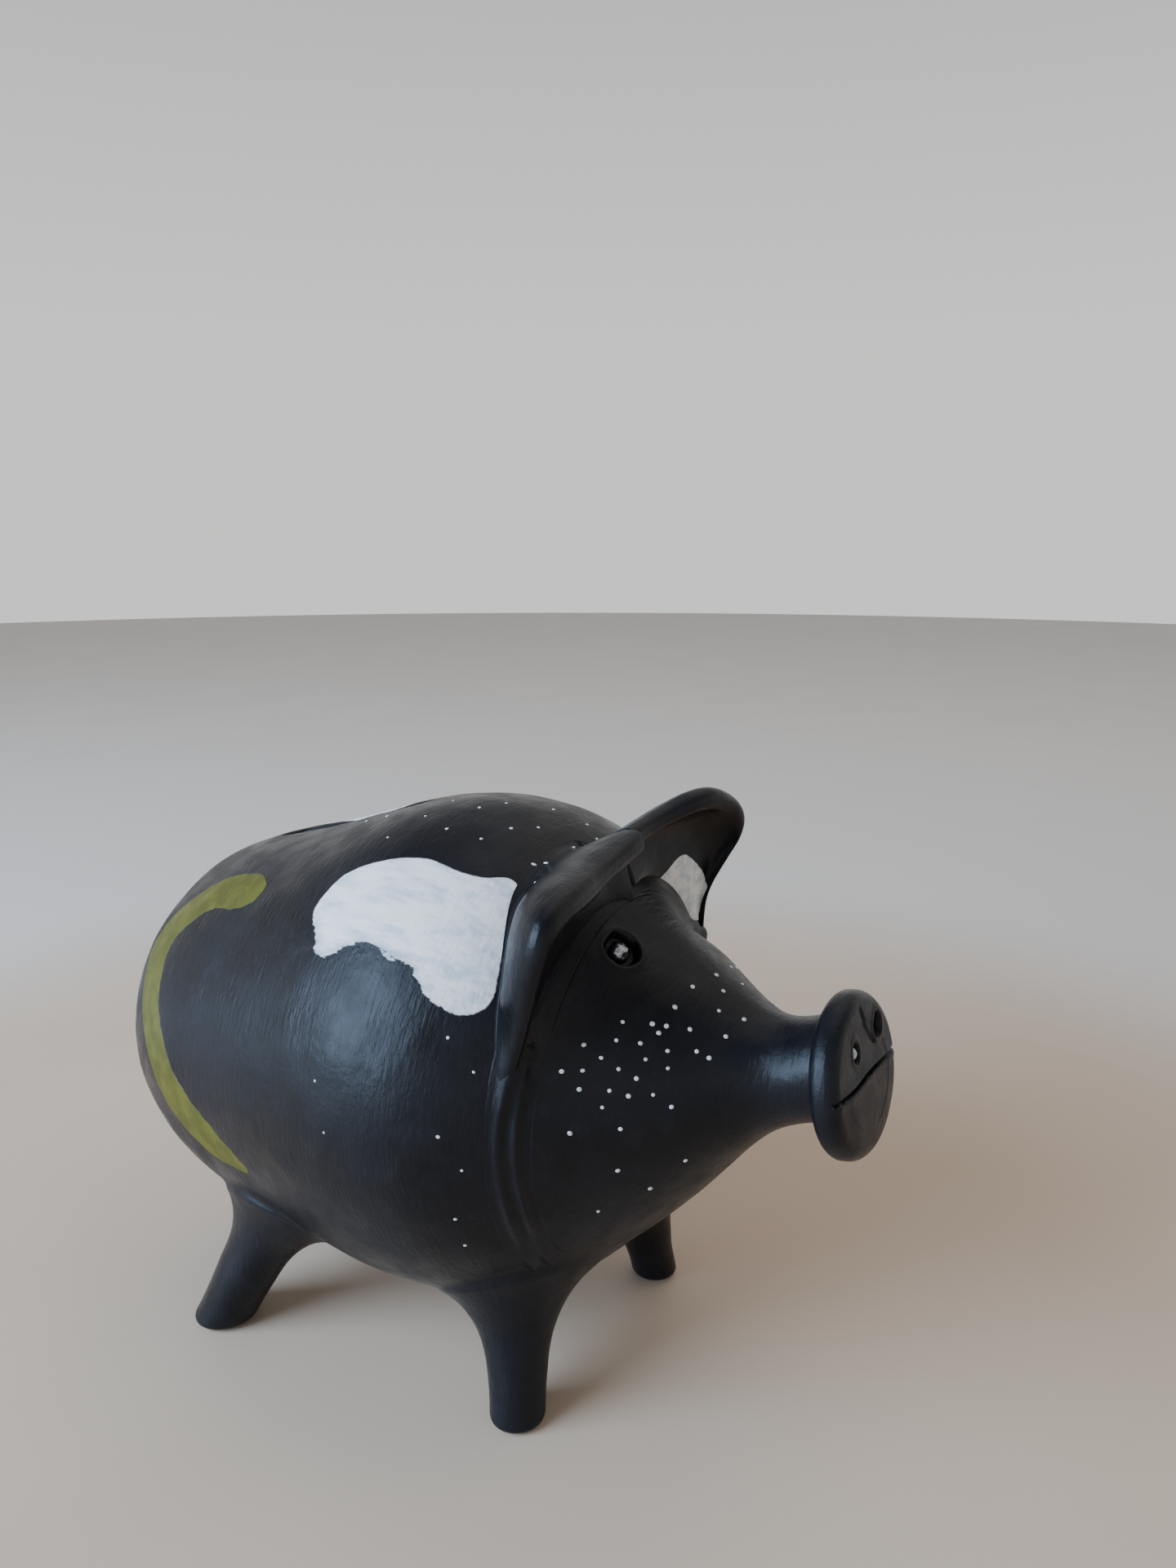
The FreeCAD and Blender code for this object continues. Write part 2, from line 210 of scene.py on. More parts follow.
_radius = spline(root_of([s[0] for s in BODY]), [s[1] for s in BODY])
axis_z = spline([s[0] for s in BODY], [s[2] for s in BODY])


def radius(x):
    return _radius(root_of(x))


def axis_point(x):
    """Point of the body's middle line at stations x."""
    return np.stack([x, 0 * x, axis_z(x)], -1)


def unit(v):
    return v / np.maximum(np.linalg.norm(v, axis=-1, keepdims=True), 1e-9)


def lumps(points, scale, seed):
    """Smooth noise at each point, about -1 to 1; scale is the size of a lump in millimetres."""
    dice = np.random.default_rng(seed)
    waves = unit(dice.normal(size=(14, 3))) * (TAU / (2 * scale * dice.uniform(0.75, 1.4, (14, 1))))
    phases = dice.uniform(0, TAU, 14)
    return np.sin(points @ waves.T + phases).sum(-1) / 4.2


def worked(points):
    """How far the hand-worked clay stands above its ideal surface, in millimetres."""
    return 0.26 * lumps(points, 21, 1) + 0.10 * lumps(points, 8.5, 2) + 0.025 * lumps(points, 3.0, 3)


def smooth_step(low, high, value):
    t = np.clip((value - low) / (high - low), 0, 1)
    return t * t * (3 - 2 * t)


def ideal_skin(x, angle):
    """Point and outward normal of the body at stations x and angles from the top, in degrees.
    Positive angles are on the pig's right side."""
    x, angle = np.broadcast_arrays(np.asarray(x, float), np.radians(np.asarray(angle, float)))
    step = 0.05
    before = np.maximum(x - step, REAR)
    after = x + step
    r = radius(x)
    slope = (radius(after) - radius(before)) / (after - before)
    climb = (axis_z(after) - axis_z(before)) / (after - before)
    side = -np.sin(angle)
    up = np.cos(angle)
    point = np.stack([x, r * side, axis_z(x) + r * up], -1)
    normal = unit(np.stack([-(slope + climb * up), side, up], -1))
    return point, normal


def pressed(points):
    """How deep the temples in front of the ears are pressed in, the left one further."""
    x, angle = place_of(points)
    depth = sum(deep * np.exp(-((angle - middle) / wide) ** 2) for middle, wide, deep in TEMPLES)
    return depth * np.exp(-((x - TEMPLE_X) / TEMPLE_SPREAD) ** 2)


def skin(x, angle, lift=0.0):
    """Hand-worked outer surface of the body, lifted along its normal."""
    point, normal = ideal_skin(x, angle)
    angle = np.radians(np.broadcast_to(angle, point.shape[:-1]))
    spoke = np.stack([0 * angle, -np.sin(angle), np.cos(angle)], -1)
    inward = pressed(point) / (normal * spoke).sum(-1)
    return point + normal * (worked(point) + lift)[..., None] - spoke * inward[..., None]


def graded(low, high, step, spots=()):
    """Rising values from low to high, step apart, and finer inside (centre, half width, step)."""
    values = [low]
    while values[-1] < high:
        here = values[-1]
        size = step
        for centre, half, fine in spots:
            outside = max(abs(here - centre) - half, 0)
            size = min(size, fine + outside * 0.3)
        values.append(here + size)
    scale = (high - low) / (values[-1] - low)
    return low + (np.array(values) - low) * scale


# ---- meshes ----
def grid_faces(rows, columns, first=0):
    """Quads between closed rings of points, numbered ring by ring."""
    i = np.arange(rows - 1)[:, None]
    j = np.arange(columns)[None, :]
    k = (j + 1) % columns
    here, beyond = first + i * columns, first + (i + 1) * columns
    return np.stack([here + j, here + k, beyond + k, beyond + j], -1).reshape(-1, 4).tolist()


def ring_fan(row_start, columns, centre, flip):
    """Triangles that close a ring of points at a centre point."""
    faces = []
    for j in range(columns):
        a = row_start + j
        b = row_start + (j + 1) % columns
        faces.append((centre, b, a) if flip else (centre, a, b))
    return faces


def new_object(name, points, faces):
    """Mesh object from points in millimetres."""
    mesh = bpy.data.meshes.new(name)
    mesh.from_pydata((np.asarray(points, float) * MM).tolist(), [], faces)
    mesh.validate()
    mesh.update()
    for polygon in mesh.polygons:
        polygon.use_smooth = True
    obj = bpy.data.objects.new(name, mesh)
    bpy.context.scene.collection.objects.link(obj)
    return obj


def tube_object(name, rings):
    """Object from rings of points, an array of rows, columns and 3, closed at both ends."""
    rings = np.array(rings)
    rows, columns = rings.shape[:2]
    points = np.concatenate([rings.reshape(-1, 3), [rings[0].mean(0), rings[-1].mean(0)]])
    faces = grid_faces(rows, columns)
    faces += ring_fan(0, columns, rows * columns, True)
    faces += ring_fan((rows - 1) * columns, columns, rows * columns + 1, False)
    return turned_out(new_object(name, points, faces))


def tyre_object(name, rings):
    """Object from rings of points of which the last is joined to the first."""
    rows, columns = rings.shape[:2]
    faces = grid_faces(rows + 1, columns)
    faces = (np.array(faces) % (rows * columns)).tolist()
    return turned_out(new_object(name, rings.reshape(-1, 3), faces))


def circle(columns, size, height, x=0.0):
    """Level ring of points round the z axis, moved along x."""
    turn = np.linspace(0, TAU, columns, endpoint=False)
    return np.column_stack([x + size * np.cos(turn), size * np.sin(turn), np.full(columns, float(height))])


def turned_out(obj):
    """Turns every face of an object outwards."""
    work = bmesh.new()
    work.from_mesh(obj.data)
    bmesh.ops.recalc_face_normals(work, faces=work.faces)
    work.to_mesh(obj.data)
    work.free()
    return obj


def cut(obj, cutter):
    """Takes cutter out of obj and throws the cutter away."""
    modifier = obj.modifiers.new("cut", "BOOLEAN")
    modifier.operation = "DIFFERENCE"
    modifier.solver = "EXACT"
    modifier.object = cutter
    graph = bpy.context.evaluated_depsgraph_get()
    mesh = bpy.data.meshes.new_from_object(obj.evaluated_get(graph))
    old = obj.data
    obj.modifiers.clear()
    obj.data = mesh
    bpy.data.meshes.remove(old)
    bpy.data.objects.remove(cutter)


def points_of(obj):
    """Vertex places in millimetres."""
    flat = np.empty(len(obj.data.vertices) * 3)
    obj.data.vertices.foreach_get("co", flat)
    return flat.reshape(-1, 3) / MM


def set_field(obj, name, values):
    """Stores one number per vertex for the materials."""
    layer = obj.data.attributes.new(name, "FLOAT", "POINT")
    layer.data.foreach_set("value", np.asarray(values, np.float32))


# ---- painted shapes on the body ----
# Outlines are drawn in (station, degrees from the top); positive is the pig's right side.
RIGHT_PATCH = [
    (-9.5, 44), (-8, 36), (-4.5, 32), (1, 29), (5.5, 28), (10.5, 29), (14, 28), (16.5, 25.5),
    (18.5, 26), (19.5, 29), (20.5, 37), (21.5, 47), (22, 53), (21, 57), (18.5, 59), (14.5, 57),
    (11.5, 53), (8.5, 52), (6, 51), (3, 50), (0, 52), (-2, 54), (-4.5, 54), (-6.5, 50),
]
LEFT_PATCH = [
    (-37, -12), (-31, -6), (-24, -5), (-16, -5.5), (-9, -9), (-3, -20), (-5, -31), (-9, -39),
    (-7, -50), (-12, -57), (-19, -55), (-25, -44), (-29, -34), (-35, -22),
]
BAND = [
    (-28, 38), (-33, 36.5), (-38, 38), (-42, 43), (-45, 50), (-46, 58), (-45, 68), (-43, 77),
    (-40, 85), (-37, 92), (-33.5, 98), (-29.5, 103), (-25, 107), (-19, 110),
]
BAND_HALF_WIDTH = 3.9

# Length along the outline of the body at each of some stations.
_stations = np.linspace(REAR, 60, 1200)
_lengths = np.concatenate([[0], np.cumsum(np.hypot(np.diff(_stations), np.diff(radius(_stations))))])
MEAN_RADIUS = 35.0


def unrolled(x, angle):
    """Flat coordinates of a place on the body, in millimetres along and around it."""
    along = np.interp(x, _stations, _lengths)
    return np.stack([along, np.radians(angle) * MEAN_RADIUS], -1)


def place_of(points):
    """Station and angle of points on the body."""
    x = points[..., 0]
    return x, np.degrees(np.arctan2(-points[..., 1], points[..., 2] - axis_z(x)))


def rounded_loop(outline, parts=6):
    """Closed smooth loop through the outline's corners."""
    p = np.array([unrolled(x, a) for x, a in outline])
    before, after, beyond = np.roll(p, 1, 0), np.roll(p, -1, 0), np.roll(p, -2, 0)
    second = 2 * before - 5 * p + 4 * after - beyond
    third = 3 * p - before - 3 * after + beyond
    out = []
    for t in np.arange(parts) / parts:
        out.append(0.5 * (2 * p + (after - before) * t + second * t ** 2 + third * t ** 3))
    return np.stack(out, 1).reshape(-1, 2)


def loop_field(flat, loop):
    """Distance to a closed loop, negative inside it."""
    nearest = np.full(len(flat), 1e9)
    inside = np.zeros(len(flat), bool)
    for a, b in zip(loop, np.roll(loop, -1, 0)):
        side = b - a
        t = np.clip(((flat - a) @ side) / (side @ side), 0, 1)
        nearest = np.minimum(nearest, np.linalg.norm(flat - a - t[:, None] * side, axis=1))
        crosses = (a[1] > flat[:, 1]) != (b[1] > flat[:, 1])
        with np.errstate(divide="ignore", invalid="ignore"):
            at = a[0] + (flat[:, 1] - a[1]) * side[0] / side[1]
        inside ^= crosses & (flat[:, 0] < at)
    return np.where(inside, -nearest, nearest)


def band_field(flat, line, half_width):
    """Distance to a brushed band that narrows to both ends, negative inside it."""
    p = np.array([unrolled(x, a) for x, a in line])
    parts = np.linspace(0, 1, 220)
    nearest = np.full(len(flat), 1e9)
    for s, centre in zip(parts, splined(np.linspace(0, 1, len(p)), p, parts)):
        half = half_width * min(1, 0.25 + 4.5 * min(s + 0.06, 1 - s) ** 0.8)
        nearest = np.minimum(nearest, np.linalg.norm(flat - centre, axis=1) - half)
    return nearest


def paint_fields(obj):
    """Stores how far each vertex is from the edge of the white and of the olive paint."""
    points = points_of(obj)
    x, angle = place_of(points)
    flat = unrolled(x, angle)
    white = np.minimum(*[loop_field(flat, rounded_loop(patch)) for patch in (RIGHT_PATCH, LEFT_PATCH)])
    mirrored = [(x, -a) for x, a in BAND[2:]]
    olive = np.minimum(*[band_field(flat, line, BAND_HALF_WIDTH) for line in (BAND, mirrored)])
    set_field(obj, "white_edge", white)
    set_field(obj, "olive_edge", olive)
    set_field(obj, "ragged", smooth_step(44, 54, np.abs(angle)) * smooth_step(22, 8, x))


# ---- fields: distance to a surface, negative inside ----
def body_field(points):
    """Distance to the hand-worked skin of the body."""
    x = np.clip(points[:, 0], REAR + 0.01, 60)
    spoke = np.hypot(points[:, 1], points[:, 2] - axis_z(x))
    slope = (radius(x + 0.05) - radius(x - 0.05 * (x > REAR + 0.1))) / 0.1
    flat = (spoke - radius(x)) / np.sqrt(1 + np.clip(slope, -3, 3) ** 2)
    return flat - worked(points) + pressed(points)


def merged(a, b, k):
    """Union of two fields with a fillet about k wide."""
    h = np.clip(1 - np.abs(a - b) / k, 0, 1)
    return np.minimum(a, b) - h * h * k / 4


def first_surface(origins, directions, field, reach, steps=48):
    """First places where rays from inside a field leave it."""
    count = len(origins)
    low = np.zeros(count)
    high = np.full(count, float(reach))
    found = np.zeros(count, bool)
    for distance in np.linspace(0, reach, steps)[1:]:
        value = field(origins + directions * distance)
        leaves = (value > 0) & ~found
        high[leaves] = distance
        found |= leaves
        low[~found] = distance
    for _ in range(14):
        middle = (low + high) / 2
        outside = field(origins + directions * middle[:, None]) > 0
        high = np.where(outside, middle, high)
        low = np.where(outside, low, middle)
    return origins + directions * high[:, None]


def fan(u, v, w, tilt, columns):
    """Directions round w, tilted towards it by some degrees."""
    turn = np.linspace(0, TAU, columns, endpoint=False)[:, None]
    tilt = math.radians(tilt)
    return math.cos(tilt) * (np.cos(turn) * u + np.sin(turn) * v) + math.sin(tilt) * w


def rotated(vectors, start, end):
    """Vectors turned by the smallest turn that takes start to end."""
    axis = np.cross(start, end)
    across = np.cross(axis, vectors)
    return vectors + across + np.cross(axis, across) / (1 + start @ end)


def root_rings(ring, outward, point, depth, reach, count):
    """Rings that leave a limb's ring, (origin, directions), and spread over the skin round a root.
    outward is the limb's direction away from the body, reach the radius where the last ring lands."""
    origin, directions = ring
    x, angle = place_of(np.array([point]))
    foot, normal = ideal_skin(x, angle)
    foot, normal = foot[0], normal[0]
    centre = foot - normal * depth
    outward = unit(np.asarray(outward, float))
    flat = unit(rotated(directions, outward, normal))
    acute = np.maximum(flat @ (outward - (outward @ normal) * normal), 0)
    steep = np.radians(34 - 20 * acute)[:, None]
    first = np.cos(steep) * flat + np.sin(steep) * normal
    x, angle = place_of(foot + flat * reach)
    landing = unit(ideal_skin(x, angle)[0] - centre)
    rings = []
    for t in (np.arange(count) + 1) / count:
        rings.append((origin + (centre - origin) * t, unit(directions + (first - directions) * t)))
    for t in (np.arange(count) + 1) / count:
        rings.append((centre, unit(first + (landing - first) * t)))
    return rings


def grown(rings, field, reach=30.0):
    """Rings of surface points from (origin, directions) pairs.  The last rings settle on the skin
    and dip just under it."""
    columns = len(rings[0][1])
    count = len(rings)
    origins = np.concatenate([np.repeat(np.atleast_2d(o), columns, 0) for o, d in rings])
    directions = np.concatenate([d for o, d in rings])
    from_end = np.arange(count)[::-1]
    settled = np.repeat(smooth_step(8, 2, from_end), columns)
    lift = np.repeat(np.interp(from_end, [0, 1, 2], [-0.10, -0.03, 0.03]), columns)

    def surface(points):
        value = field(points)
        return value + (body_field(points) - value) * settled - lift

    return first_surface(origins, directions, surface, reach).reshape(count, columns, 3)


# ---- body shells ----
def station_at(length):
    return np.interp(length, _lengths, _stations)


def length_at(x):
    return float(np.interp(x, _stations, _lengths))


def slot_distance(points):
    """Distance in plan to the edge of the coin slot, negative inside it."""
    past = np.maximum(np.abs(points[..., 0] - SLOT_X) - (SLOT_LENGTH - SLOT_WIDTH) / 2, 0)
    return np.hypot(past, points[..., 1]) - SLOT_WIDTH / 2


def worn_edge(distance, roundness):
    """Drop of a surface towards a rounded edge."""
    t = np.clip(roundness - distance, 0, roundness)
    return roundness - np.sqrt(np.maximum(roundness ** 2 - t ** 2, 0))


def hollow_ring(x, angles):
    """Ring of the inner wall at a station, a wall's thickness inside the skin."""
    point, normal = ideal_skin(x, angles)
    inner = point - normal * WALL
    return inner + unit(inner - axis_point(x)) * (0.5 * lumps(inner, 6, 7))[:, None]


def rear_shell():
    """Back part of the bank with the slot, the stopper's recess and its hole."""
    angles = graded(-180, 180, 0.95, [(0, 8, 0.45)])[:-1]
    ends = [length_at(SLOT_X - SLOT_LENGTH / 2), length_at(SLOT_X + SLOT_LENGTH / 2)]
    end = SEAM - COIL_WIDTH / 2
    x = station_at(graded(0.6, length_at(end), 0.58, [(e, 3, 0.3) for e in ends]))
    x[-1] = end
    outer = skin(x[:, None], angles[None, :])
    on_back = outer[..., 2] > 60
    normal = ideal_skin(x[:, None], angles[None, :])[1]
    outer -= normal * (worn_edge(slot_distance(outer), SLOT_EDGE) * on_back)[..., None]
    inner = []
    for station in station_at(np.linspace(length_at(SEAM + 1), 0.8, 60)):
        ring = hollow_ring(station, angles)
        ring[:, 0] = np.minimum(ring[:, 0], end)
        near = smooth_step(*BOSS_EDGE, np.hypot(ring[:, 0] - STOPPER_X, ring[:, 1])) * (ring[:, 2] < 30)
        ring[:, 2] += np.maximum(BOSS_TOP - ring[:, 2], 0) * near
        inner.append(ring)
    obj = tube_object("body_rear_clay", np.concatenate([outer, inner]))
    cut(obj, round_cutter("pad", PAD_RADIUS, -1, PAD_Z))
    cut(obj, round_cutter("hole", HOLE_RADIUS, 0, 30))
    cut(obj, slot_cutter())
    return obj


def round_cutter(name, size, low, high):
    """Cylinder under the belly with a worn top edge."""
    profile = ((low, size), (high - 0.6, size), (high - 0.2, size - 0.15), (high, size - 0.6))
    return tube_object(name, [circle(160, r, z, STOPPER_X) for z, r in profile])


def slot_cutter():
    """Straight slot with round ends through the back."""
    straight = (SLOT_LENGTH - SLOT_WIDTH) / 2
    turn = np.linspace(0, TAU, 96, endpoint=False)
    x = SLOT_X + straight * np.sign(np.cos(turn)) + SLOT_WIDTH / 2 * np.cos(turn)
    y = SLOT_WIDTH / 2 * np.sin(turn)
    return tube_object("slot", [np.column_stack([x, y, np.full(96, z)]) for z in (62.0, 100.0)])


def eye_stamp(points):
    """How deep the ring stamped round each eye goes, at points on the face."""
    depth = np.zeros(points.shape[:-1])
    for side in (1, -1):
        centre = skin(*EYES[side])
        away = np.linalg.norm(points - centre, axis=-1)
        ragged = 0.12 * lumps(points, 1.6, 5)
        depth += EYE_HOLE_DEPTH * smooth_step(*EYE_HOLE, away + ragged)
        depth -= 0.12 * np.exp(-((away - 3.1) / 0.4) ** 2)
    return depth


def front_shell():
    """Head and neck, trimmed square to the snout."""
    angles = graded(-180, 180, 1.1, [(EYES[1][1], 10, 0.35), (EYES[-1][1], 10, 0.35)])[:-1]
    parts = graded(0, 1, 0.0165, [(0.12, 0.09, 0.006)])
    ends = np.full(len(angles), SNOUT_BACK[0])
    for _ in range(6):
        ends -= (ideal_skin(ends, angles)[0] - SNOUT_BACK) @ SNOUT_AXIS
    ends += 0.3
    start = SEAM + COIL_WIDTH / 2
    x = start + (ends[None, :] - start) * parts[:, None]
    outer = skin(x, angles[None, :])
    outer -= ideal_skin(x, angles[None, :])[1] * eye_stamp(outer)[..., None]
    inner = []
    for t in np.linspace(1, 0, 30):
        station = start + (ends - start) * t
        point, centre = ideal_skin(station, angles)[0], axis_point(station)
        bore = np.maximum(radius(station) - WALL - 0.6 - 1.35 * pressed(point), NECK_BORE)
        inner.append(centre + unit(point - centre) * bore[:, None])
    return tyre_object("body_front_clay", np.concatenate([outer, inner]))


def seam_height(x, angle):
    """Height of the pinched coil over the skin: two thin ridges and a rough smear by the ears."""
    away = np.abs(angle)
    on_cheek = smooth_step(30, 60, away) * smooth_step(160, 118, away)
    places = np.stack([0 * x, away * 0.6, 0 * x], -1)
    wander = 0.35 * lumps(places, 9, 11)
    uneven = 0.75 + 0.5 * lumps(places + [0, 0, 40.0], 6, 12)
    back = np.exp(-((x - 25.2 - wander) / 0.5) ** 2) * (0.06 + 0.30 * on_cheek)
    front = np.exp(-((x - 26.9 - wander) / 0.42) ** 2)
    front *= 0.05 + 0.36 * on_cheek * smooth_step(64, 72, away)
    rough = 1 + 0.5 * lumps(places + [0, 30.0, 0], 1.6, 13)
    smear = np.exp(-((x - 25.8) / 1.3) ** 2) * 0.9 * smooth_step(50, 60, away) * smooth_step(84, 70, away)
    edge = smooth_step(0, 0.5, np.minimum(x - SMEAR_START, SMEAR_END - x))
    return 0.03 + (back + front) * uneven + smear * rough - 0.16 * (1 - edge)


def seam():
    """Clay coil between the two shells, smeared over the joint outside and standing proud inside."""
    angles = np.linspace(-180, 180, 480, endpoint=False)
    x = np.linspace(SMEAR_START, SMEAR_END, 44)[:, None] + 0 * angles[None, :]
    angle = 0 * x + angles[None, :]
    outer = skin(x, angle, seam_height(x, angle))
    inner = []
    for t in np.linspace(0, math.pi, 14):
        station = SEAM + 2.4 * math.cos(t)
        point = ideal_skin(station, angles)[0]
        inner.append(point - unit(point - axis_point(station)) * (WALL + 0.4 + 1.8 * math.sin(t)))
    return tyre_object("seam_clay", np.concatenate([outer, inner]))


# ---- snout ----
def snout_face(side, up):
    """Height of the modelled face over the flat disc: nostrils, groove, mouth and lip."""
    height = 0.25 * smooth_step(2.5, -0.6, up) * smooth_step(11, 6, np.hypot(side, up))
    for (cx, cy), half_w, half_h, deep in NOSTRILS:
        q = np.hypot((side - cx) / half_w, (up - cy) / half_h)
        height -= deep * smooth_step(1.15, 0.55, q)
        height += 0.12 * np.exp(-((q - 1.35) / 0.3) ** 2)
    start, line = np.array(GROOVE[0]), np.subtract(GROOVE[1], GROOVE[0])
    t = np.clip(((side - start[0]) * line[0] + (up - start[1]) * line[1]) / (line @ line), 0, 1)
    bow = 0.5 * np.sin(math.pi * t)
    away = np.hypot(side - start[0] - line[0] * t + bow, up - start[1] - line[1] * t)
    height -= 0.5 * smooth_step(0.55, 0.1, away) * (0.4 + 0.6 * np.sin(math.pi * np.clip(t, 0.1, 0.9)))
    wave = 0.12 * np.sin(side * 0.5 + 1.0)
    height -= 1.0 * smooth_step(0.42, 0.16, np.abs(up - wave)) * smooth_step(-10.9, -10.0, side)
    height += 0.07 * np.exp(-((up - wave + 0.75) / 0.4) ** 2)
    return height


def snout():
    """Disc of the snout, with its spigot in the neck."""
    columns = 300
    turn = np.linspace(0, TAU, columns, endpoint=False)
    wobble = 1 + 0.012 * np.sin(2 * turn + 0.6) + 0.008 * np.sin(3 * turn + 2.0)
    profile = [(-SPIGOT_LENGTH, 0.4), (-SPIGOT_LENGTH, SPIGOT_RADIUS), (-0.2, SPIGOT_RADIUS), (-0.05, 6.6)]
    for t in np.linspace(0, 1, 9):
        profile.append((-0.05 + 0.75 * t ** 2, 6.9 + 2.6 * t))
    for t in np.linspace(0, math.pi / 2, 9)[1:]:
        profile.append((2.2 - 1.5 * math.cos(t), 9.5 + 1.7 * math.sin(t)))
    rim = 1.9
    for t in np.linspace(0, math.pi / 2, 12)[1:]:
        profile.append((SNOUT_THICK - rim + rim * math.sin(t), SNOUT_RADIUS - rim + rim * math.cos(t)))
    for r in graded(0.15, SNOUT_RADIUS - rim, 0.13)[::-1][1:]:
        profile.append((SNOUT_THICK, r))
    rings = []
    for distance, r in profile:
        by_hand = r > 7
        side = r * np.cos(turn) * (wobble if by_hand else 1)
        rise = r * np.sin(turn) * (wobble * 0.965 if by_hand else 1)
        on_face = smooth_step(2.4, 4.4, distance) * smooth_step(12.2, 11.0, np.hypot(side, rise))
        height = distance + snout_face(side, rise) * on_face
        across = LEFT * side[:, None] + SNOUT_UP * rise[:, None]
        points = SNOUT_BACK + across + SNOUT_AXIS * height[:, None]
        if by_hand:
            points += SNOUT_AXIS * (0.5 * worked(points))[:, None]
            points += unit(across) * (0.6 * worked(points + 5.0))[:, None]
        rings.append(points)
    return tube_object("snout_clay", rings)


def nostril_dab():
    """Drop of white paint in the near nostril."""
    half_width, half_height, half_depth, sunk = 0.42, 0.9, 0.85, 0.75
    side, rise = NOSTRILS[0][0]
    centre = SNOUT_CENTRE + LEFT * side + SNOUT_UP * rise - SNOUT_AXIS * sunk
    turn = np.linspace(0, TAU, 32, endpoint=False)
    rings = []
    for t in np.linspace(-math.pi / 2, math.pi / 2, 18)[1:-1]:
        spread = math.cos(t) * (1 + 0.06 * np.sin(3 * turn + 1))
        across = LEFT * (half_width * spread * np.cos(turn))[:, None]
        upwards = SNOUT_UP * (half_height * spread * np.sin(turn))[:, None]
        rings.append(centre + across + upwards + SNOUT_AXIS * half_depth * math.sin(t))
    return tube_object("nostril_dab", rings)


# ---- legs ----
def leg(name, foot, lean, sections, side):
    """Leg with a flat worn sole, flared into the belly."""
    heights = [z for z, r in sections]
    sizes = spline(heights, [r for z, r in sections])
    flip = np.array([1, side, 1.0])
    foot = np.array(foot) * flip
    lean = np.array(lean) * flip

    def field(points):
        z = np.clip(points[:, 2], 0, heights[-1])
        centre = foot + lean * z[:, None]
        spoke = np.hypot(points[:, 0] - centre[:, 0], points[:, 1] - centre[:, 1])
        stem = (spoke - sizes(z)) * 0.97 - 0.7 * worked(points * 1.4)
        sole = -points[:, 2] - 0.06 * lumps(points, 2.5, 21)
        sole = -merged(-stem, -sole, 1.3)
        return merged(sole, body_field(points), LEG_FILLET)

    columns = 96
    east, north, up = np.eye(3)
    rings = []
    low = foot + lean * 2.0
    for tilt in np.linspace(-88, -4, 26):
        rings.append((low, fan(east, north, up, tilt, columns)))
    top = root_height(foot, lean)
    for z in np.linspace(2.0, top - 8, 40):
        rings.append((foot + lean * z, fan(east, north, up, 0, columns)))
    rings += root_rings(rings[-1], -lean, foot + lean * top, 5.0, 16.0, 20)
    points = grown(rings, field)
    points[..., 2] = np.maximum(points[..., 2], 0)
    return tube_object(name, points)


def root_height(foot, lean):
    """Height at which the middle line of a leg meets the belly."""
    heights = np.linspace(2, 40, 400)
    inside = body_field(foot + lean * heights[:, None]) < 0
    return float(heights[np.argmax(inside)])


# ---- ears ----
def bezier(start, first, second, end, t):
    """Points of cubic curves, one curve to a row of the inputs."""
    t = np.asarray(t)[None, :, None]
    start, first, second, end = [a[:, None, :] for a in (start, first, second, end)]
    u = 1 - t
    return start * u ** 3 + first * 3 * u * u * t + second * 3 * u * t * t + end * t ** 3


def square_to(vectors, normals):
    """Unit vectors along the parts of vectors that are square to unit normals."""
    return unit(vectors - (vectors * normals).sum(1)[:, None] * normals)


